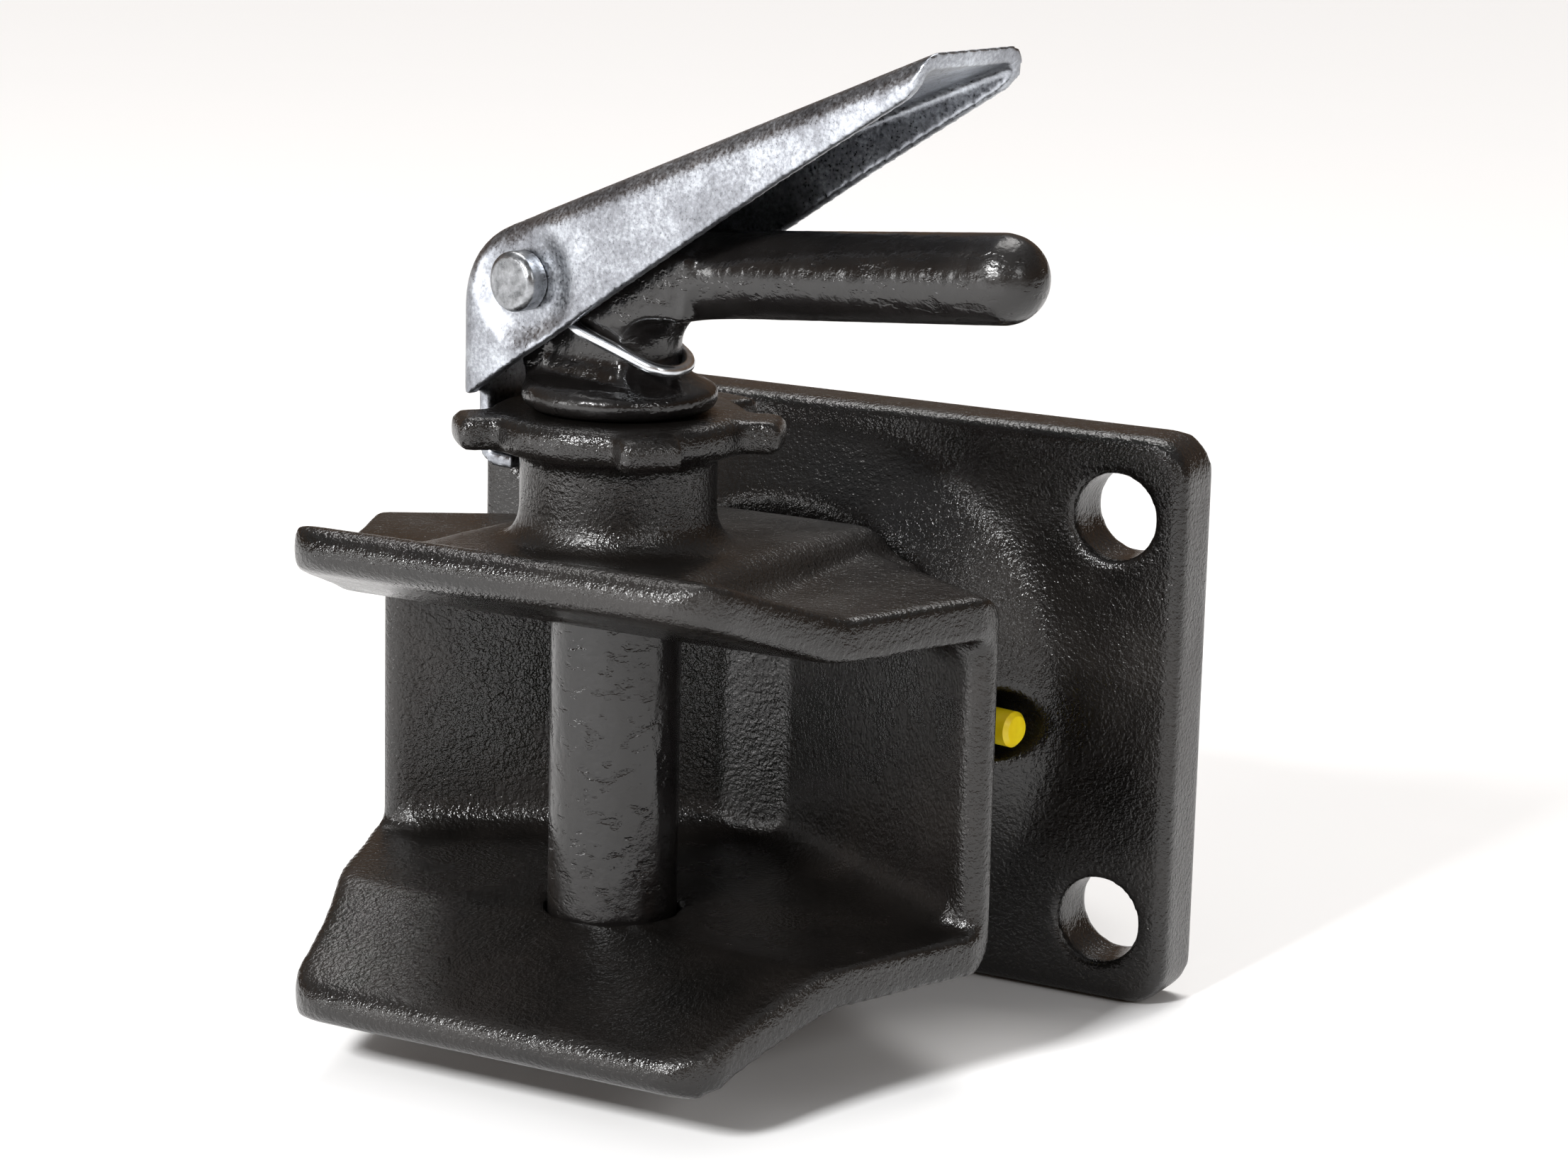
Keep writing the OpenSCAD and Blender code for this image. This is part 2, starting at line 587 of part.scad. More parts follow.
// Leg that runs forward beside the neck
function spring_leg(side) = [[-6, side * leg_y, spring_z + 6], [4, side * leg_y, spring_z + 2],
    [12, side * leg_y, spring_z + 1]];

function reversed(list) = [for (i = [len(list) - 1:-1:0]) list[i]];

// Double torsion spring: coils on the pivot pin each side of the eye, and one leg
// that loops round the front of the head's neck
module latch_spring() color("#d5d8dc") on_pin() {
    last = coil_turns * 360 - 60;
    bow = [for (a = [-90:15:90]) [spring_s + leg_y * cos(a), leg_y * sin(a), spring_z + 2]];
    wire(concat([coil_stub(-1, last)], coil_points(-1), spring_leg(-1), bow,
        reversed(spring_leg(1)), reversed(coil_points(1)), [coil_stub(1, last)]), wire_d);
}

// Section of the lever's web and rounded corners: X across, Y inwards from the outer face
function cap_section() = let (half = lever_w / 2 - lever_corner_r, r = lever_corner_r)
    concat(arc(half, r, r, 0, -90, 5), arc(-half, r, r, 270, 180, 5),
        arc(-half, r, r - lever_t, 180, 270, 5), arc(half, r, r - lever_t, -90, 0, 5));

// The cap drawn up the lever's back, round its bend and out along its top
module lever_cap() {
    sec = cap_section();
    k = len(sec);
    turn = [for (i = [0:9]) let (a = 180 - (90 - lever_slope) * i / 9) [cos(a), sin(a)]];
    out = concat([[-lever_back, lever_low - 4]], [for (d = turn) bend_c + lever_bend_r * d],
        [bend_c + lever_bend_r * turn[9] + 2 * lever_tip * [cos(lever_slope), sin(lever_slope)]]);
    inward = concat([-turn[0]], -turn, [-turn[9]]);
    pts = [for (j = [0:11], p = sec) [out[j][0] + p[1] * inward[j][0], p[0], out[j][1] + p[1] * inward[j][1]]];
    polyhedron(pts, concat([for (i = [0:k / 2 - 2]) [i, i + 1, k - 2 - i, k - 1 - i]],
        [for (j = [0:10], i = [0:k - 1]) let (m = (i + 1) % k) [j * k + i, (j + 1) * k + i, (j + 1) * k + m, j * k + m]],
        [for (i = [0:k / 2 - 2]) [11 * k + k - 1 - i, 11 * k + k - 2 - i, 11 * k + i + 1, 11 * k + i]]));
}

// Side outline of a flange, inside the rounded corners
module flange_side() {
    q = lever_corner_r - 0.3;
    r = lever_bend_r - q;
    n = [-sin(lever_slope), cos(lever_slope)];
    t = bend_c + r * n;
    polygon(concat([[-lever_back + q, 40]], arc(bend_c[0], bend_c[1], r, 180, 90 + lever_slope, 9),
             [[2 * lever_tip, t[1] + (2 * lever_tip - t[0]) * tan(lever_slope)], [2 * lever_tip, 40]]));
}

// Region of the lever that is left above its slanting lower edge
module lever_trim() polygon([[-80, lever_low], [-lever_back + 3.5, lever_low], [-16.7, lever_low + 9.4], [0, lever_low + 19.9],
    [16.3, lever_low + 30.4], [58.9, lever_low + 57], [lever_tip - 5.5, lever_low + 77.6],
    [lever_tip - 2.5, lever_low + 80.5], [lever_tip, lever_low + 88], [lever_tip, 230], [-80, 230]]);

module latch_lever() color(zinc) on_pin() difference() {
    union() {
        intersection() {
            union() {
                lever_cap();
                for (y = [-lever_w / 2 + lever_t, lever_w / 2]) translate([0, y, 0]) rotate([90, 0, 0])
                    linear_extrude(lever_t) flange_side();
            }
            translate([0, 60, 0]) rotate([90, 0, 0]) linear_extrude(120) lever_trim();
        }
        translate([0, hook_w / 2, 0]) rotate([90, 0, 0]) linear_extrude(hook_w) hook();
    }
    translate([-pivot_s, 0, pivot_z]) rotate([90, 0, 0]) cylinder(d = pivot_d + 2 * pin_run, h = 80, center = true);
}

// Hook below the lever's back, bent in under the lobed flange
module hook() {
    b = lever_back;
    translate([-b, hook_low + 5]) square([lever_t, lever_low - hook_low - 5]);
    difference() {
        translate([-b + 5, hook_low + 5]) circle(r = 5);
        translate([-b + 5, hook_low + 5]) circle(r = 5 - lever_t);
        translate([-b + 5, hook_low - 1]) square([10, 20]);
        translate([-b - 1, hook_low + 5]) square([12, 20]);
    }
    translate([-b + 5, hook_low]) square([b - 5 - 24.2, lever_t]);
}

mounting_plate();
front_bush();
rear_bush();
grease_nipple();
nipple_ball();
nipple_spring();
grease_cap();
face_seal();
jaw();
thrust_washer();
disc_springs();
castle_nut();
split_pin();
coupling_pin();
pivot_pin();
pivot_washer();
latch_spring();
latch_lever();
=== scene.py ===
import math

import bpy
from mathutils import Matrix, Vector


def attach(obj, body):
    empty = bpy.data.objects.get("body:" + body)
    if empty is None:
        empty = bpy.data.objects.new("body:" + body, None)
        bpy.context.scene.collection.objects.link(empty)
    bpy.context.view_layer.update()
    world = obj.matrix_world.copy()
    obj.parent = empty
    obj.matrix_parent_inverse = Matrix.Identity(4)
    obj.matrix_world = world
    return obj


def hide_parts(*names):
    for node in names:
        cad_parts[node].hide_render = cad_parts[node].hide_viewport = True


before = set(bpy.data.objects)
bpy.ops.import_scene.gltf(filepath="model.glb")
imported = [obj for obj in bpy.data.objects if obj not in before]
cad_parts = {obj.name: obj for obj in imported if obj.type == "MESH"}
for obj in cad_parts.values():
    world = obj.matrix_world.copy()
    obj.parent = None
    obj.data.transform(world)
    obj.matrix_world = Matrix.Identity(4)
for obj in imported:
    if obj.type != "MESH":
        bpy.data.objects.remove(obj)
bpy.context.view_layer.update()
bpy.ops.object.select_all(action="DESELECT")
scene = bpy.context.scene

MM = 0.001

# Camera: where the photograph was taken from, and its lens
CAMERA_PLACE = Vector((0.4699, -0.8998, 0.2487))
CAMERA_RIGHT = Vector((0.87906, 0.47670, 0.0))
CAMERA_BACK = Vector((0.46492, -0.85734, 0.22086))
CAMERA_ROLL = math.radians(1.41)
SENSOR_WIDTH_MM = 36.0
LENS_MM = 94.8
FAR_LIMIT = 60.0


def place_camera():
    """Stand the camera where the photograph was taken, and give it the same lens."""
    back = CAMERA_BACK.normalized()
    up = back.cross(CAMERA_RIGHT).normalized()
    side = CAMERA_RIGHT * math.cos(CAMERA_ROLL) + up * math.sin(CAMERA_ROLL)
    over = up * math.cos(CAMERA_ROLL) - CAMERA_RIGHT * math.sin(CAMERA_ROLL)
    data = bpy.data.cameras.new("camera")
    data.sensor_width = SENSOR_WIDTH_MM
    data.lens = LENS_MM
    data.clip_end = FAR_LIMIT
    camera = bpy.data.objects.new("camera", data)
    scene.collection.objects.link(camera)
    turn = Matrix((side, over, back)).transposed().to_4x4()
    camera.matrix_world = Matrix.Translation(CAMERA_PLACE) @ turn
    scene.camera = camera


place_camera()


# Materials. Each pattern's scale is one over the real size of its patches.

def linear(hex_colour):
    """An sRGB hex colour as a linear RGBA tuple."""
    parts = [int(hex_colour[i:i + 2], 16) / 255 for i in (1, 3, 5)]
    curved = [c / 12.92 if c <= 0.04045 else ((c + 0.055) / 1.055) ** 2.4 for c in parts]
    return (*curved, 1.0)


def link(tree, node, links):
    """Link each source to the node's input of that name or number."""
    for name, source in links.items():
        tree.links.new(source, node.inputs[name])


def add(tree, kind, settings=None, links=None, stops=None, out=0):
    """Add one node with its settings, links and colour stops, and give one of its outputs."""
    node = tree.nodes.new(kind)
    for name, value in (settings or {}).items():
        if hasattr(node, name):
            setattr(node, name, value)
        else:
            node.inputs[name].default_value = value
    if stops:
        steps = node.color_ramp.elements
        while len(steps) < len(stops):
            steps.new(0.5)
        for step, (at, colour) in zip(steps, stops):
            step.position = at
            step.color = linear(colour)
    link(tree, node, links or {})
    return node.outputs[out]


def start(name, values):
    """A new material and its node tree, its shader with some values set, and Object coordinates."""
    mat = bpy.data.materials.new(name)
    mat.use_nodes = True
    tree = mat.node_tree
    shader = tree.nodes["Principled BSDF"]
    for key, value in values.items():
        shader.inputs[key].default_value = value
    place = add(tree, "ShaderNodeTexCoord", out="Object")
    return mat, tree, shader, place


def one_pattern(name, values, pattern, shades, gloss=None, relief=None):
    """A finish whose one pattern shades its colour and, where given, its roughness and relief."""
    mat, tree, shader, place = start(name, values)
    tone = add(tree, "ShaderNodeTexNoise", pattern, {"Vector": place})
    inputs = {"Base Color": add(tree, "ShaderNodeValToRGB", None, {"Fac": tone}, shades)}
    if gloss:
        inputs["Roughness"] = add(tree, "ShaderNodeMapRange", gloss, {"Value": tone})
    if relief:
        inputs["Normal"] = add(tree, "ShaderNodeBump", relief, {"Height": tone})
    link(tree, shader, inputs)
    return mat


def casting_paint():
    """Gloss black enamel over a sand casting: the sand's grain sparkles through, with dull patches."""
    mat, tree, shader, place = start("gloss_enamel_on_sand_casting", {"IOR": 1.5})
    dust = add(tree, "ShaderNodeTexNoise",
               {"Scale": 1 / (30 * MM), "Detail": 5.0, "Roughness": 0.6}, {"Vector": place})
    colour = add(tree, "ShaderNodeValToRGB", None, {"Fac": dust}, [(0.32, "#0d0c0b"), (0.7, "#1a1715")])
    gloss = add(tree, "ShaderNodeMapRange",
                {"From Min": 0.35, "From Max": 0.65, "To Min": 0.18, "To Max": 0.32}, {"Value": dust})
    wave = add(tree, "ShaderNodeTexNoise",
               {"Scale": 1 / (7 * MM), "Detail": 3.0, "Roughness": 0.5}, {"Vector": place})
    swell = add(tree, "ShaderNodeBump", {"Strength": 0.25, "Distance": 1.0 * MM}, {"Height": wave})
    # The grain is drawn coarser than the sand's own, so that it shows
    grain = add(tree, "ShaderNodeTexNoise",
                {"Scale": 1 / (1.1 * MM), "Detail": 2.0, "Roughness": 0.65}, {"Vector": place})
    rough = add(tree, "ShaderNodeBump",
                {"Strength": 0.85, "Distance": 0.42 * MM}, {"Height": grain, "Normal": swell})
    link(tree, shader, {"Base Color": colour, "Roughness": gloss, "Normal": rough})
    return mat


def forging_paint():
    """Gloss black enamel on a smooth forging, thick enough to run and to chip in flakes."""
    mat, tree, shader, place = start("gloss_enamel_on_forging", {"IOR": 1.5})
    dust = add(tree, "ShaderNodeTexNoise",
               {"Scale": 1 / (22 * MM), "Detail": 4.0, "Roughness": 0.5}, {"Vector": place})
    colour = add(tree, "ShaderNodeValToRGB", None, {"Fac": dust}, [(0.3, "#0a0909"), (0.75, "#161413")])
    gloss = add(tree, "ShaderNodeMapRange",
                {"From Min": 0.35, "From Max": 0.65, "To Min": 0.14, "To Max": 0.3}, {"Value": dust})
    # Runs are drawn out downwards, and flakes sideways
    run = add(tree, "ShaderNodeMapping", {"Scale": (1.0, 1.0, 0.5)}, {"Vector": place})
    drips = add(tree, "ShaderNodeTexNoise",
                {"Scale": 1 / (7 * MM), "Detail": 2.0, "Roughness": 0.5}, {"Vector": run})
    runny = add(tree, "ShaderNodeBump", {"Strength": 0.6, "Distance": 1.0 * MM}, {"Height": drips})
    flake = add(tree, "ShaderNodeMapping", {"Scale": (0.55, 0.55, 1.0)}, {"Vector": place})
    flakes = add(tree, "ShaderNodeTexNoise",
                 {"Scale": 1 / (2.6 * MM), "Detail": 3.0, "Roughness": 0.6}, {"Vector": flake})
    chips = add(tree, "ShaderNodeMapRange",
                {"From Min": 0.56, "From Max": 0.66, "To Min": 1.0, "To Max": 0.0}, {"Value": flakes})
    chipped = add(tree, "ShaderNodeBump",
                  {"Strength": 0.4, "Distance": 0.25 * MM}, {"Height": chips, "Normal": runny})
    peel = add(tree, "ShaderNodeTexNoise",
               {"Scale": 1 / (1.3 * MM), "Detail": 2.0, "Roughness": 0.6}, {"Vector": place})
    skin = add(tree, "ShaderNodeBump",
               {"Strength": 0.4, "Distance": 0.25 * MM}, {"Height": peel, "Normal": chipped})
    link(tree, shader, {"Base Color": colour, "Roughness": gloss, "Normal": skin})
    return mat


def zinc_plate():
    """Zinc plated sheet: bluish grey and mottled, with a fine bright spangle."""
    mat, tree, shader, place = start("zinc_plated_sheet", {"Metallic": 1.0})
    mottle = add(tree, "ShaderNodeTexNoise",
                 {"Scale": 1 / (14 * MM), "Detail": 6.0, "Roughness": 0.65}, {"Vector": place})
    spangle = add(tree, "ShaderNodeTexNoise",
                  {"Scale": 1 / (0.9 * MM), "Detail": 3.0, "Roughness": 0.7}, {"Vector": place})
    fleck = add(tree, "ShaderNodeMapRange",
                {"From Min": 0.3, "From Max": 0.7, "To Min": -0.13, "To Max": 0.13}, {"Value": spangle})
    tone = add(tree, "ShaderNodeMath", {"operation": "ADD"}, {0: mottle, 1: fleck})
    shades = [(0.28, "#6f7176"), (0.5, "#92959b"), (0.75, "#c6cbd2")]
    colour = add(tree, "ShaderNodeValToRGB", None, {"Fac": tone}, shades)
    gloss = add(tree, "ShaderNodeMapRange",
                {"From Min": 0.3, "From Max": 0.7, "To Min": 0.24, "To Max": 0.46}, {"Value": spangle})
    wave = add(tree, "ShaderNodeTexNoise",
               {"Scale": 1 / (12 * MM), "Detail": 2.0, "Roughness": 0.5}, {"Vector": place})
    bent = add(tree, "ShaderNodeBump", {"Strength": 0.35, "Distance": 0.6 * MM}, {"Height": wave})
    tooth = add(tree, "ShaderNodeBump",
                {"Strength": 0.3, "Distance": 0.1 * MM}, {"Height": spangle, "Normal": bent})
    link(tree, shader, {"Base Color": colour, "Roughness": gloss, "Normal": tooth})
    return mat


def turned_steel():
    """Zinc plated turned steel: clouded grey, with the fine tooth of the plating."""
    mat, tree, shader, place = start("zinc_plated_turned_steel", {"Metallic": 1.0})
    tone = add(tree, "ShaderNodeTexNoise",
               {"Scale": 1 / (8 * MM), "Detail": 5.0, "Roughness": 0.6}, {"Vector": place})
    colour = add(tree, "ShaderNodeValToRGB", None, {"Fac": tone}, [(0.3, "#85878a"), (0.7, "#b9bcbf")])
    tooth = add(tree, "ShaderNodeTexNoise",
                {"Scale": 1 / (0.9 * MM), "Detail": 3.0, "Roughness": 0.65}, {"Vector": place})
    gloss = add(tree, "ShaderNodeMapRange",
                {"From Min": 0.3, "From Max": 0.7, "To Min": 0.22, "To Max": 0.45}, {"Value": tooth})
    plated = add(tree, "ShaderNodeBump", {"Strength": 0.4, "Distance": 0.12 * MM}, {"Height": tooth})
    link(tree, shader, {"Base Color": colour, "Roughness": gloss, "Normal": plated})
    return mat


CASTING = casting_paint()
FORGING = forging_paint()
SHEET_ZINC = zinc_plate()
STEEL = turned_steel()
# Zinc plated rivet, its face dulled and dented by the hammer
RIVET = one_pattern(
    "zinc_plated_rivet", {"Metallic": 1.0},
    {"Scale": 1 / (2.5 * MM), "Detail": 5.0, "Roughness": 0.65},
    [(0.3, "#626466"), (0.7, "#a3a5a8")],
    gloss={"From Min": 0.3, "From Max": 0.7, "To Min": 0.24, "To Max": 0.4},
    relief={"Strength": 0.5, "Distance": 0.25 * MM})
# Galvanised spring wire, drawn smooth and bright
WIRE = one_pattern(
    "galvanised_spring_wire", {"Metallic": 1.0, "Roughness": 0.24},
    {"Scale": 1 / (3 * MM), "Detail": 3.0, "Roughness": 0.5},
    [(0.3, "#b4b8bd"), (0.7, "#e3e6e9")],
    relief={"Strength": 0.2, "Distance": 0.1 * MM})
# Blackened spring steel, oiled to a dark shine
SPRING_STEEL = one_pattern(
    "blackened_spring_steel", {"Metallic": 1.0, "Roughness": 0.34},
    {"Scale": 1 / (10 * MM), "Detail": 4.0, "Roughness": 0.5},
    [(0.3, "#2d2d2f"), (0.7, "#4b4b4e")])
# Soft yellow polyethylene, moulded, with a waxy shine
CAP = one_pattern(
    "moulded_yellow_polyethylene",
    {"Roughness": 0.38, "IOR": 1.51, "Subsurface Weight": 0.12, "Subsurface Radius": (0.004, 0.003, 0.001)},
    {"Scale": 1 / (4.5 * MM), "Detail": 3.0, "Roughness": 0.5},
    [(0.3, "#eccb00"), (0.7, "#fbe31e")],
    relief={"Strength": 0.12, "Distance": 0.2 * MM})
# Turned bearing bronze, dull with grease
BRONZE = one_pattern(
    "turned_bearing_bronze", {"Metallic": 1.0, "Roughness": 0.35},
    {"Scale": 1 / (11 * MM), "Detail": 4.0, "Roughness": 0.5},
    [(0.3, "#8a6530"), (0.7, "#b58a4a")])
# Black nitrile rubber, matt and a little uneven
RUBBER = one_pattern(
    "moulded_nitrile_rubber", {"Roughness": 0.7, "IOR": 1.52},
    {"Scale": 1 / (4 * MM), "Detail": 4.0, "Roughness": 0.5},
    [(0.3, "#151516"), (0.7, "#262628")],
    relief={"Strength": 0.2, "Distance": 0.4 * MM})

FINISH = {
    "mounting_plate": CASTING, "jaw": CASTING, "coupling_pin": FORGING,
    "latch_lever": SHEET_ZINC, "pivot_pin": RIVET, "pivot_washer": STEEL, "latch_spring": WIRE,
    "grease_cap": CAP, "grease_nipple": STEEL, "nipple_ball": WIRE, "nipple_spring": WIRE,
    "front_bush": BRONZE, "rear_bush": BRONZE, "face_seal": RUBBER,
    "thrust_washer": STEEL, "disc_springs": SPRING_STEEL, "castle_nut": STEEL, "split_pin": STEEL,
}


def paint(obj, mat):
    """Give an object one finish all over."""
    obj.data.materials.clear()
    obj.data.materials.append(mat)


for node_name, node_mat in FINISH.items():
    paint(bpy.data.objects[node_name], node_mat)


# Worn castings and forgings, made from copies of the CAD nodes

# Points nearer than this are one point
WELD_GAP = 0.00001
# How far one smoothing pass takes a point towards the middle of its neighbours
WEAR_SHARE = 0.5


def pick(obj):
    """Select one object alone and make it the active one."""
    bpy.ops.object.select_all(action="DESELECT")
    obj.select_set(True)
    bpy.context.view_layer.objects.active = obj


def apply_modifiers(obj):
    """Apply an object's modifiers in their order."""
    pick(obj)
    for name in [m.name for m in obj.modifiers]:
        bpy.ops.object.modifier_apply(modifier=name)


def smooth(obj, passes, group=""):
    """Wear an object smooth, or only the part of it in one vertex group."""
    wear = obj.modifiers.new("wear", "SMOOTH")
    wear.factor = WEAR_SHARE
    wear.iterations = passes
    wear.vertex_group = group
    apply_modifiers(obj)


def welded_copy(node, name):
    """A copy of a CAD node's mesh with its loose triangles merged."""
    mesh = bpy.data.objects[node].data.copy()
    mesh.name = name
    copy = bpy.data.objects.new(name, mesh)
    scene.collection.objects.link(copy)
    pick(copy)
    bpy.ops.object.mode_set(mode="EDIT")
    bpy.ops.mesh.select_all(action="SELECT")
    bpy.ops.mesh.remove_doubles(threshold=WELD_GAP)
    bpy.ops.object.mode_set(mode="OBJECT")
    return copy


def soft_skin(node, name, body, voxel, passes):
    """A node's shape with the worn, rounded edges of the real piece, in place of the node."""
    skin = welded_copy(node, name)
    mesher = skin.modifiers.new("mesher", "REMESH")
    mesher.mode = "VOXEL"
    mesher.voxel_size = voxel
    mesher.use_smooth_shade = True
    smooth(skin, passes)
    paint(skin, FINISH[node])
    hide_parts(node)
    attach(skin, body)
    return skin


# The pin's own directions: along its handle, and across it
PIN_AXIS = Vector((0.0, -0.113, 0.0))
HANDLE_TURN = math.radians(-12)
ALONG = Vector((math.cos(HANDLE_TURN), math.sin(HANDLE_TURN), 0.0))
ACROSS = Vector((-math.sin(HANDLE_TURN), math.cos(HANDLE_TURN), 0.0))
# Where the lever turns, along the handle and up
PIVOT_ALONG = -0.014
PIVOT_Z = 0.111


def to_pin(point):
    """A point as its distance along the handle, across it, and its height."""
    away = point - PIN_AXIS
    return away.dot(ALONG), away.dot(ACROSS), point.z


def from_pin(along, across, height):
    """The point that lies so far along the handle, across it and up."""
    return PIN_AXIS + ALONG * along + ACROSS * across + Vector((0.0, 0.0, height))


def reshape(obj, rule):
    """Move each vertex by a rule that works in the pin's own directions."""
    for vertex in obj.data.vertices:
        vertex.co = from_pin(*rule(*to_pin(vertex.co)))
    obj.data.update()


# Rim of the two lips, which is rounder than the rest of the casting
LIP_START = -0.122
LIP_TOP = 0.0585
LIP_FADE = 0.012
LIP_PASSES = 22
TOWER_REACH = 0.036


def round_lips(jaw):
    """Wear down the jaw's two lips in front, and leave the pin tower alone."""
    lips = jaw.vertex_groups.new(name="lips")
    for vertex in jaw.data.vertices:
        x, y, z = vertex.co
        if y < LIP_START and abs(z) < LIP_TOP and math.hypot(x, y - PIN_AXIS.y) > TOWER_REACH:
            lips.add([vertex.index], min(1.0, (LIP_START - y) / LIP_FADE), "REPLACE")
    smooth(jaw, LIP_PASSES, "lips")


# Neck between the collar and the handle: round in front, with flattened sides
NECK_LOW = 0.0872
NECK_REAR = -0.012
NECK_R = 0.0138
NECK_FLAT = 0.0103
NECK_PASSES = 5
COLLAR_TOP = 0.0895
# Its front flares below this height, towards the collar
FLARE_TOP = 0.0945
FLARE = 163.0
# Its sides spread below one height and above another
SIDE_LOW = 0.0935
SIDE_LOW_SLOPE = 0.9
SIDE_HIGH = 0.1
SIDE_HIGH_SLOPE = 0.35
# Fillet from its front up to the underside of the handle
FILLET_R = 0.0085
FILLET_ALONG = 0.0223
FILLET_Z = 0.0968


def neck_rule(along, across, height):
    """Draw the block under the handle in to a round neck, with a fillet up to the handle."""
    if not NECK_LOW < height < FILLET_Z + FILLET_R or along < NECK_REAR:
        return along, across, height
    if height > FILLET_Z:
        limit = FILLET_ALONG - math.sqrt(FILLET_R ** 2 - (height - FILLET_Z) ** 2)
    else:
        limit = NECK_R + FLARE * max(0.0, FLARE_TOP - height) ** 2
    if height > COLLAR_TOP:
        side = NECK_FLAT + SIDE_HIGH_SLOPE * max(0.0, height - SIDE_HIGH)
        side += SIDE_LOW_SLOPE * max(0.0, SIDE_LOW - height)
        across = max(-side, min(side, across))
    reach = math.hypot(along, across)
    if along > 0.0 and reach > limit:
        along, across = along * limit / reach, across * limit / reach
    return along, across, height


# Dish pressed into each of the lever's sides round the rivet
DISH_R = 0.0168
DISH_FLOOR_R = 0.0095
DISH_DEPTH = 0.0014
# The lever's sides lie further out across than this
LEVER_SIDE = 0.0125


def dish_rule(along, across, height):
    """Sink the lever's side round the rivet, with a smooth slope down to a flat floor."""
    reach = math.hypot(along - PIVOT_ALONG, height - PIVOT_Z)
    if abs(across) > LEVER_SIDE and reach < DISH_R:
        share = min(1.0, (DISH_R - reach) / (DISH_R - DISH_FLOOR_R))
        sink = DISH_DEPTH * share * share * (3.0 - 2.0 * share)
        across -= math.copysign(sink, across)
    return along, across, height


# Underside of the rivet's head, and the band of points that belongs to it
HEAD_UNDER = 0.0177
HEAD_BAND_OUT = 0.0006
HEAD_BAND_IN = 0.0012
SHANK_CLEAR = 0.005


def head_rule(along, across, height):
    """Bring the underside of the rivet's head down to the floor of the dish."""
    reach = math.hypot(along - PIVOT_ALONG, height - PIVOT_Z)
    if reach > SHANK_CLEAR and -HEAD_UNDER - HEAD_BAND_OUT < across < -HEAD_UNDER + HEAD_BAND_IN:
        across += DISH_DEPTH
    return along, across, height


jaw_skin = soft_skin("jaw", "jaw_casting", "swivel", voxel=0.0014, passes=4)
round_lips(jaw_skin)
soft_skin("mounting_plate", "plate_casting", "mount", voxel=0.0013, passes=7)
pin_skin = soft_skin("coupling_pin", "pin_forging", "pin", voxel=0.0009, passes=5)
reshape(pin_skin, neck_rule)
smooth(pin_skin, NECK_PASSES)
lever_skin = soft_skin("latch_lever", "lever_sheet", "lever", voxel=0.0007, passes=2)
reshape(lever_skin, dish_rule)
rivet_skin = soft_skin("pivot_pin", "rivet", "pin", voxel=0.0004, passes=4)
reshape(rivet_skin, head_rule)


# Torsion spring: a coil on each side of the head, and a bow that hugs the neck
WIRE_R = 0.0014
COIL_R = 0.0058
COIL_INNER = 0.0083
COIL_OUTER = 0.0117
COIL_TURNS = 1.3
COIL_STEPS = 24
# The wire's way from coil to coil, in millimetres along the handle, across it and up
LEG_POINTS = [
    (-8.0, -11.9, 104.6), (-2.6, -12.4, 101.6), (0.8, -12.3, 100.2), (9.2, -11.2, 97.7),
    (15.5, -10.0, 95.3),
]
BOW_POINTS = [
    (18.6, -8.9, 94.1), (20.2, -5.6, 93.4), (19.6, -1.0, 93.1), (17.1, 4.5, 93.5),
    (12.2, 9.2, 94.3), (6.6, 12.1, 95.2),
]
BACK_POINTS = [(1.0, 12.6, 98.0), (-8.0, 11.9, 104.6)]


def coil(side):
    """Points of one coil, from its inner end round to the leg."""
    points = []
    for i in range(COIL_STEPS + 1):
        left = 1 - i / COIL_STEPS
        angle = COIL_TURNS * 2 * math.pi * left
        across = side * (COIL_OUTER - (COIL_OUTER - COIL_INNER) * left)
        along = PIVOT_ALONG - COIL_R * math.sin(angle)
        points.append((along, across, PIVOT_Z - COIL_R * math.cos(angle)))
    return points


def bent_wire():
    """The spring as one smooth wire, in place of its CAD node."""
    way = [tuple(v * MM for v in point) for point in LEG_POINTS + BOW_POINTS + BACK_POINTS]
    route = coil(-1) + way + coil(1)[::-1]
    curve = bpy.data.curves.new("latch_wire", "CURVE")
    curve.dimensions = "3D"
    spline = curve.splines.new("NURBS")
    spline.points.add(len(route) - 1)
    for knot, point in zip(spline.points, route):
        knot.co = (*from_pin(*point), 1.0)
    spline.order_u = 4
    spline.use_endpoint_u = True
    spline.resolution_u = 6
    curve.bevel_depth = WIRE_R
    curve.bevel_resolution = 4
    curve.use_fill_caps = True
    wire = bpy.data.objects.new("latch_wire", curve)
    scene.collection.objects.link(wire)
    pick(wire)
    bpy.ops.object.convert(target="MESH")
    bpy.ops.object.shade_smooth()
    wire = bpy.context.object
    paint(wire, WIRE)
    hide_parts("latch_spring")
    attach(wire, "pin")


bent_wire()


# Floor and light

FLOOR_Z = -0.0703
FLOOR_SIZE = 40.0


def studio_floor():
    """A pale floor just under the mounting plate, too large for its edge to show."""
    bpy.ops.mesh.primitive_plane_add(size=FLOOR_SIZE, location=(0.0, 0.0, FLOOR_Z))
    floor = bpy.context.object
    floor.name = "floor"
    pick(floor)
    bpy.ops.object.transform_apply(location=True, rotation=True, scale=True)
    paper = start("pale_paper_floor", {"Roughness": 0.9, "Base Color": linear("#fafafa")})[0]
    paint(floor, paper)


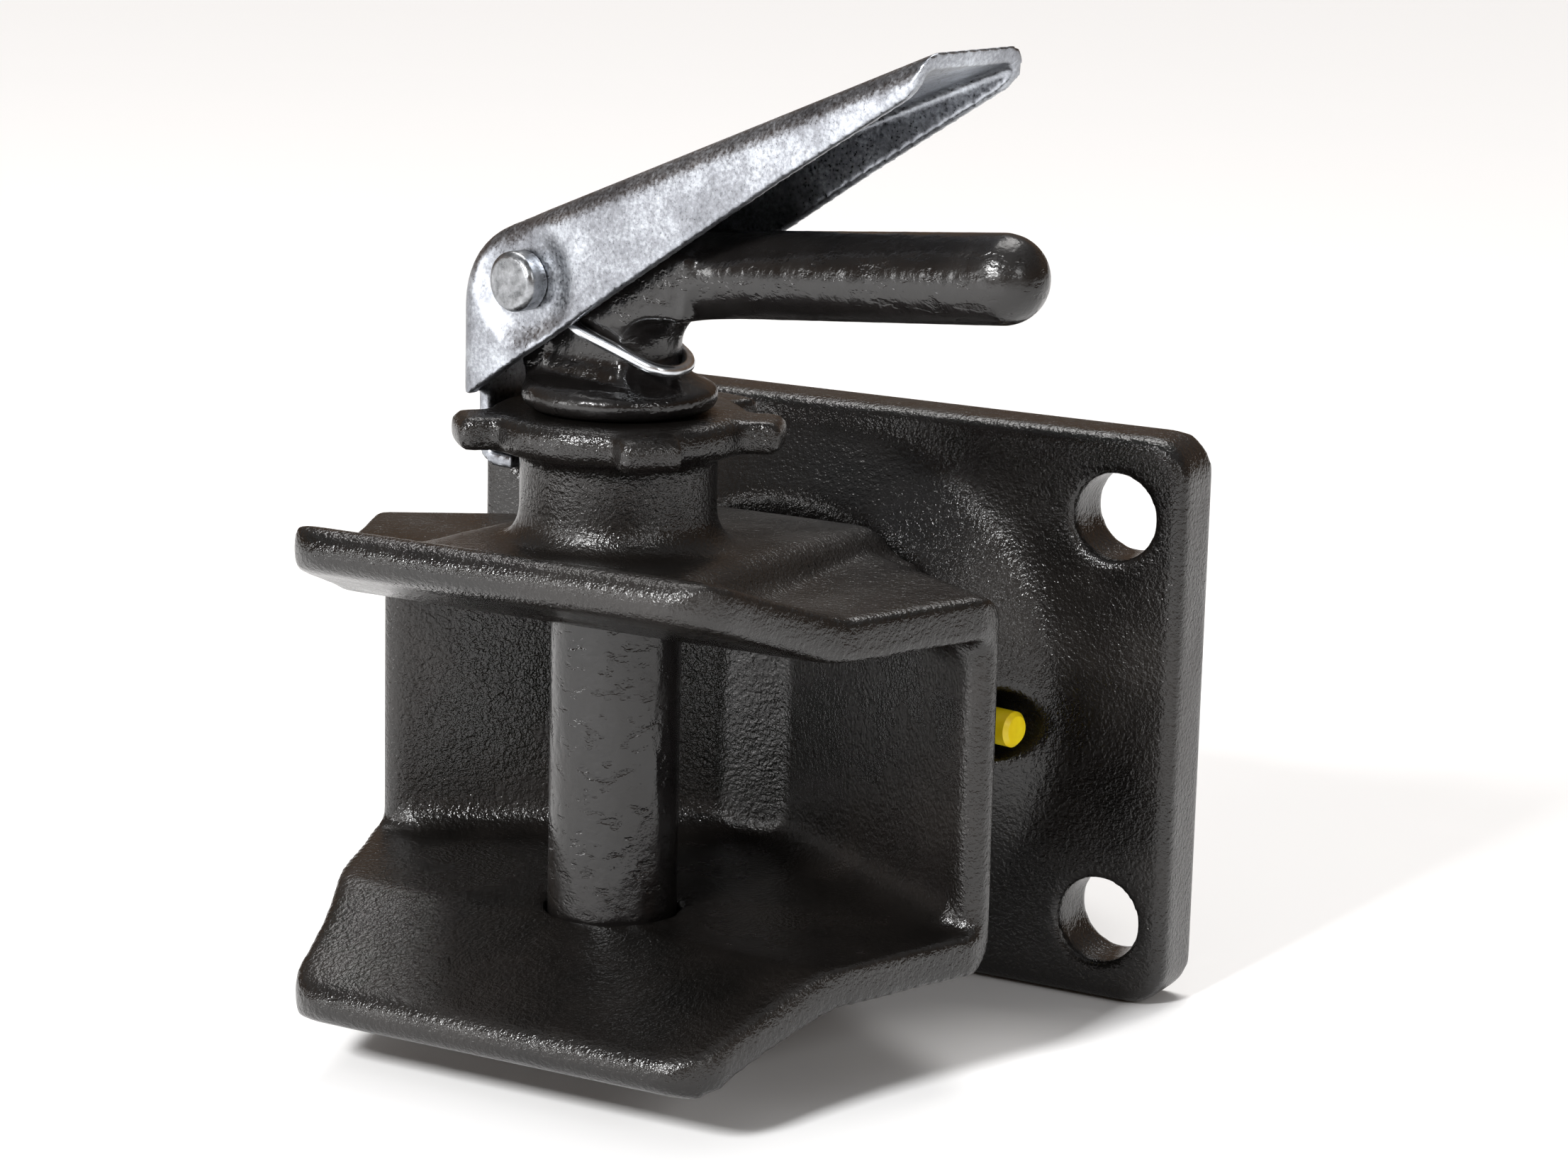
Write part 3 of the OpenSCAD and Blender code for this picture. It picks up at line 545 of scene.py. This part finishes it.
def soft_light(name, place, target, size, power):
    """A lit panel that faces the target: its size in metres and its power in watts."""
    data = bpy.data.lights.new(name, "AREA")
    data.shape = "RECTANGLE"
    data.size, data.size_y = size
    data.energy = power
    lamp = bpy.data.objects.new(name, data)
    scene.collection.objects.link(lamp)
    lamp.location = place
    lamp.rotation_euler = (Vector(target) - Vector(place)).to_track_quat("-Z", "Y").to_euler()


def ceiling():
    """Even light from above, so that the pale floor stays white out to its edge."""
    data = bpy.data.lights.new("ceiling", "SUN")
    data.energy = 2.3
    data.angle = math.radians(40)
    data.color = (1.0, 0.98, 0.96)
    lamp = bpy.data.objects.new("ceiling", data)
    scene.collection.objects.link(lamp)
    lamp.rotation_euler = (math.radians(-22), math.radians(-12), 0.0)


def studio_air():
    """Dim warm room for the gloss to reflect, and plain white where the camera sees past the object."""
    world = bpy.data.worlds.new("studio")
    world.use_nodes = True
    tree = world.node_tree
    way = add(tree, "ShaderNodeTexCoord", out="Generated")
    height = add(tree, "ShaderNodeSeparateXYZ", None, {"Vector": way}, out="Z")
    shades = [(0.0, "#7a5f48"), (0.2, "#947a64"), (0.55, "#8d8a88"), (1.0, "#d8d8da")]
    room = add(tree, "ShaderNodeValToRGB", None, {"Fac": height}, shades)
    dim = add(tree, "ShaderNodeBackground", {"Strength": 0.65}, {"Color": room})
    white = add(tree, "ShaderNodeBackground", {"Strength": 1.0, "Color": linear("#ffffff")})
    seen = add(tree, "ShaderNodeLightPath", out="Is Camera Ray")
    mix = add(tree, "ShaderNodeMixShader", None, {"Fac": seen, 1: dim, 2: white})
    link(tree, tree.nodes["World Output"], {"Surface": mix})
    scene.world = world


studio_floor()
soft_light("flash", (-0.15, -1.5, 0.9), (0, -0.06, 0.03), size=(0.28, 0.28), power=36.0)
soft_light("side", (1.6, -0.9, 0.8), (0, -0.06, 0.03), size=(0.4, 0.6), power=7.0)
soft_light("low_left", (-1.2, -1.7, 0.3), (0, -0.03, 0.03), size=(0.5, 0.4), power=9.0)
ceiling()
studio_air()
scene.view_settings.view_transform = "Standard"
